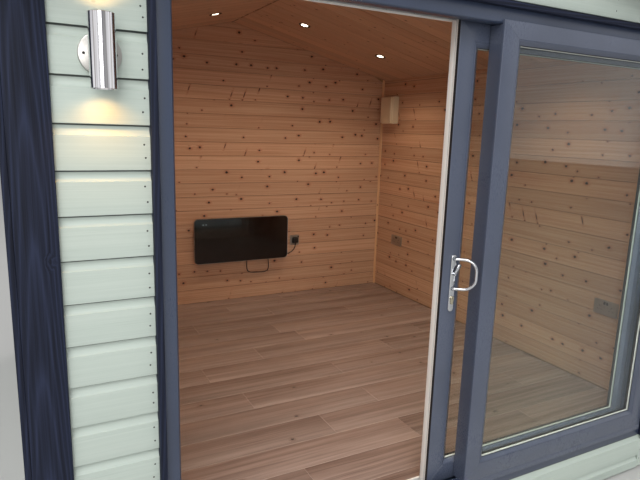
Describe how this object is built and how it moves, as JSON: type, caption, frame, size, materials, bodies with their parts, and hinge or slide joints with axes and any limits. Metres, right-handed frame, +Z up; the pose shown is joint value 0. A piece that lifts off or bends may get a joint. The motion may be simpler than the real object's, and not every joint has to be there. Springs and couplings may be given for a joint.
{
  "type": "garden office pod",
  "caption": "Timber garden office pod with painted board cladding, pitched roof, pine lined room, sliding patio door, wall lights and wall heater",
  "frame": {"origin": "on the ground under the middle of the roof", "axes": "+X to the right seen from the front, +Y to the back of the building, +Z up; the door front faces -Y"},
  "size_m": [3.156, 3.06, 2.4934],
  "materials": {
    "structure": "sawn timber frame and boards",
    "laminate": "matt oak laminate planks",
    "cladding": "satin sage green paint on timber boards",
    "pine": "clear sealed knotty pine boards",
    "membrane": "matt dark grey sheet",
    "dark_timber": "matt dark blue grey paint on timber",
    "door_profile": "fine grained anthracite foil",
    "door_white": "smooth white plastic",
    "glazing": "clear double glazing",
    "polished": "polished chrome",
    "cylinder_brass": "satin brass",
    "light_steel": "brushed stainless steel",
    "white_plastic": "smooth white plastic",
    "heater_glass": "black glass front",
    "heater_steel": "black powder coat",
    "cord_rubber": "black flex",
    "plug_plastic": "moulded black plastic",
    "socket_steel": "brushed grey metal plates",
    "unit_plastic": "pale plastic"
  },
  "bodies": {
    "pod": {"base_bearers": "structure", "floor_deck": "structure", "laminate_floor": "laminate", "front_wall_left": "structure", "front_wall_right": "structure", "front_wall_gable": "structure", "left_wall": "structure", "right_wall": "structure", "back_wall": "structure", "front_cladding": "cladding", "gable_cladding": "cladding", "skirt_cladding": "cladding", "side_cladding": "cladding", "back_cladding": "cladding", "front_lining": "pine", "side_linings": "pine", "back_lining": "pine", "ceiling_lining": "pine", "roof_panels": "structure", "roof_membrane": "membrane", "barge_boards": "dark_timber", "eaves_fascias": "dark_timber", "corner_boards": "dark_timber", "door_surround": "dark_timber", "door_frame": "door_profile", "door_track": "door_profile", "door_lip": "door_white", "fixed_sash": "door_profile", "fixed_glass": "glazing", "light_plates": "light_steel", "light_tubes": "light_steel", "downlights": "white_plastic", "heater_panel": "heater_glass", "heater_brackets": "heater_steel", "heater_cord": "cord_rubber", "heater_plug": "plug_plastic", "wall_sockets": "socket_steel", "consumer_unit": "unit_plastic", "corner_beads": "pine"},
    "sliding_door": {"sliding_sash": "door_profile", "sliding_glass": "glazing", "outside_handle": "polished", "key_cylinder": "cylinder_brass", "inside_handle": "polished"},
    "latch": {"latch_lever": "polished"}
  },
  "joints": [
    {"name": "door_slide", "type": "slide", "parent": "pod", "child": "sliding_door", "axis": [1, 0, 0], "range_m": [-1.004, 0]},
    {"name": "latch_turn", "type": "hinge", "parent": "sliding_door", "child": "latch", "pos_m": [-0.071, -1.3625, 1.119], "axis": [0, 1, 0], "range_deg": [0, 90]}
  ]
}
